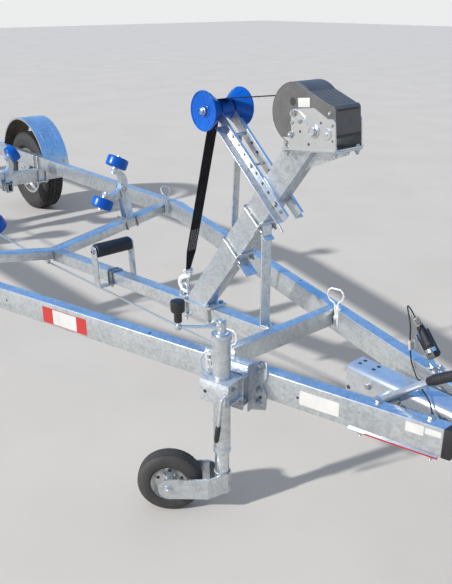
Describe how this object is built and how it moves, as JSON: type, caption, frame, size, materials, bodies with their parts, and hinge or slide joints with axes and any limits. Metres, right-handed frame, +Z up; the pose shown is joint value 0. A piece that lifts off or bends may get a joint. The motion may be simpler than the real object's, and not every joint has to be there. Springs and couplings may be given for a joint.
{
  "type": "boat trailer",
  "caption": "Single-axle galvanised boat trailer with sprung axle, swinging roller cradles, keel rollers, bow roller, strap winch on a raked post, jockey wheel and overrun coupling.",
  "frame": {"origin": "centre of the bounding box's base, on the ground", "axes": "+X forward to the coupling, +Y to the trailer's left, +Z up"},
  "size_m": [7.2, 2.074, 1.4391],
  "materials": {
    "galvanised": "hot-dip zinc, spangled, satin",
    "zinc_plated": "bright electroplated zinc",
    "wheel_silver": "silver paint",
    "tyre": "matt black rubber",
    "black_rubber": "matt black rubber",
    "blue_roller": "blue polyurethane, semi-gloss",
    "winch_cover": "dark grey moulded plastic",
    "strap": "black polyester webbing",
    "lamp_red": "red lens"
  },
  "bodies": {
    "root": {"arm_stay": "galvanised", "axle": "galvanised", "bellows": "black_rubber", "brake_linkage": "zinc_plated", "carrier_beam": "galvanised", "centre_rail": "galvanised", "coupling_head": "zinc_plated", "cradle_stands": "galvanised", "cross_members": "galvanised", "draw_tube": "galvanised", "front_brace": "galvanised", "guard_feet": "galvanised", "handbrake_grip": "black_rubber", "handbrake_lever": "galvanised", "jockey_bracket": "galvanised", "keel_brackets": "galvanised", "lamps": "lamp_red", "light_board": "galvanised", "mudguard_left": "galvanised", "mudguard_right": "galvanised", "overrun_housing": "galvanised", "plug": "black_rubber", "plug_cable": "black_rubber", "plug_holder": "zinc_plated", "rail_caps": "black_rubber", "roller_arms": "zinc_plated", "side_rail_left": "galvanised", "side_rail_right": "galvanised", "strap_hook": "zinc_plated", "tie_down_rings": "zinc_plated", "vee_members": "galvanised", "winch_cover": "winch_cover", "winch_frame": "zinc_plated", "winch_post": "galvanised", "winch_strap": "strap"},
    "wheel_left": {"rim_left": "wheel_silver", "tyre_left": "tyre"},
    "wheel_right": {"rim_right": "wheel_silver", "tyre_right": "tyre"},
    "bow_roller": {"bow_roller": "blue_roller"},
    "jockey_leg": {"jockey_leg": "galvanised", "jockey_grip": "black_rubber"},
    "jockey_fork": {"jockey_fork": "galvanised"},
    "jockey_wheel": {"jockey_rim": "zinc_plated", "jockey_tyre": "tyre"},
    "cradle_front_left": {"rocker_front_left": "galvanised"},
    "roller_front_left_inner": {"roller_front_left_inner": "blue_roller"},
    "roller_front_left_outer": {"roller_front_left_outer": "blue_roller"},
    "cradle_front_right": {"rocker_front_right": "galvanised"},
    "roller_front_right_inner": {"roller_front_right_inner": "blue_roller"},
    "roller_front_right_outer": {"roller_front_right_outer": "blue_roller"},
    "cradle_rear_left": {"rocker_rear_left": "galvanised"},
    "roller_rear_left_inner": {"roller_rear_left_inner": "blue_roller"},
    "roller_rear_left_outer": {"roller_rear_left_outer": "blue_roller"},
    "cradle_rear_right": {"rocker_rear_right": "galvanised"},
    "roller_rear_right_inner": {"roller_rear_right_inner": "blue_roller"},
    "roller_rear_right_outer": {"roller_rear_right_outer": "blue_roller"},
    "keel_roller_front": {"keel_roller_front": "black_rubber"},
    "keel_roller_middle": {"keel_roller_middle": "black_rubber"},
    "keel_roller_rear": {"keel_roller_rear": "black_rubber"}
  },
  "joints": [
    {"name": "wheel_left_spin", "type": "hinge", "parent": "root", "child": "wheel_left", "pos_m": [-1.67, 0.93, 0.325], "axis": [0, 1, 0], "continuous": true},
    {"name": "wheel_right_spin", "type": "hinge", "parent": "root", "child": "wheel_right", "pos_m": [-1.67, -0.93, 0.325], "axis": [0, 1, 0], "continuous": true},
    {"name": "jockey_height", "type": "slide", "parent": "root", "child": "jockey_leg", "axis": [0, 0, 1], "range_m": [0, 0.12]},
    {"name": "jockey_swivel", "type": "hinge", "parent": "jockey_leg", "child": "jockey_fork", "pos_m": [2.39, -0.43023, 0.3], "axis": [0, 0, 1], "continuous": true},
    {"name": "jockey_wheel_spin", "type": "hinge", "parent": "jockey_fork", "child": "jockey_wheel", "pos_m": [2.2664, -0.56654, 0.115], "axis": [0.7408, -0.6717, 0], "continuous": true},
    {"name": "bow_roller_spin", "type": "hinge", "parent": "root", "child": "bow_roller", "pos_m": [1.893, 0, 1.303], "axis": [0, 1, 0], "continuous": true},
    {"name": "cradle_front_left_tilt", "type": "hinge", "parent": "root", "child": "cradle_front_left", "pos_m": [0.4, 0.474, 0.636], "axis": [1, 0, 0], "range_deg": [-50, 30]},
    {"name": "roller_front_left_inner_spin", "type": "hinge", "parent": "cradle_front_left", "child": "roller_front_left_inner", "pos_m": [0.4, 0.33595, 0.56356], "axis": [0, -0.4617, -0.887], "continuous": true},
    {"name": "roller_front_left_outer_spin", "type": "hinge", "parent": "cradle_front_left", "child": "roller_front_left_outer", "pos_m": [0.4, 0.45416, 0.79063], "axis": [0, -0.4617, -0.887], "continuous": true},
    {"name": "cradle_front_right_tilt", "type": "hinge", "parent": "root", "child": "cradle_front_right", "pos_m": [0.4, -0.474, 0.636], "axis": [1, 0, 0], "range_deg": [-30, 50]},
    {"name": "roller_front_right_inner_spin", "type": "hinge", "parent": "cradle_front_right", "child": "roller_front_right_inner", "pos_m": [0.4, -0.33595, 0.56356], "axis": [0, 0.4617, -0.887], "continuous": true},
    {"name": "roller_front_right_outer_spin", "type": "hinge", "parent": "cradle_front_right", "child": "roller_front_right_outer", "pos_m": [0.4, -0.45416, 0.79063], "axis": [0, 0.4617, -0.887], "continuous": true},
    {"name": "cradle_rear_left_tilt", "type": "hinge", "parent": "root", "child": "cradle_rear_left", "pos_m": [-1.11, 0.411, 0.466], "axis": [1, 0, 0], "range_deg": [-50, 30]},
    {"name": "roller_rear_left_inner_spin", "type": "hinge", "parent": "cradle_rear_left", "child": "roller_rear_left_inner", "pos_m": [-1.11, 0.25565, 0.47908], "axis": [0, -0.866, -0.5], "continuous": true},
    {"name": "roller_rear_left_outer_spin", "type": "hinge", "parent": "cradle_rear_left", "child": "roller_rear_left_outer", "pos_m": [-1.11, 0.47735, 0.60708], "axis": [0, -0.866, -0.5], "continuous": true},
    {"name": "cradle_rear_right_tilt", "type": "hinge", "parent": "root", "child": "cradle_rear_right", "pos_m": [-1.11, -0.411, 0.466], "axis": [1, 0, 0], "range_deg": [-30, 50]},
    {"name": "roller_rear_right_inner_spin", "type": "hinge", "parent": "cradle_rear_right", "child": "roller_rear_right_inner", "pos_m": [-1.11, -0.25565, 0.47908], "axis": [0, 0.866, -0.5], "continuous": true},
    {"name": "roller_rear_right_outer_spin", "type": "hinge", "parent": "cradle_rear_right", "child": "roller_rear_right_outer", "pos_m": [-1.11, -0.47735, 0.60708], "axis": [0, 0.866, -0.5], "continuous": true},
    {"name": "keel_roller_front_spin", "type": "hinge", "parent": "root", "child": "keel_roller_front", "pos_m": [1.03826, 0, 0.53393], "axis": [0, 1, 0], "continuous": true},
    {"name": "keel_roller_middle_spin", "type": "hinge", "parent": "root", "child": "keel_roller_middle", "pos_m": [-1.305, 0, 0.5], "axis": [0, 1, 0], "continuous": true},
    {"name": "keel_roller_rear_spin", "type": "hinge", "parent": "root", "child": "keel_roller_rear", "pos_m": [-3.49, 0, 0.58], "axis": [0, 1, 0], "continuous": true}
  ]
}
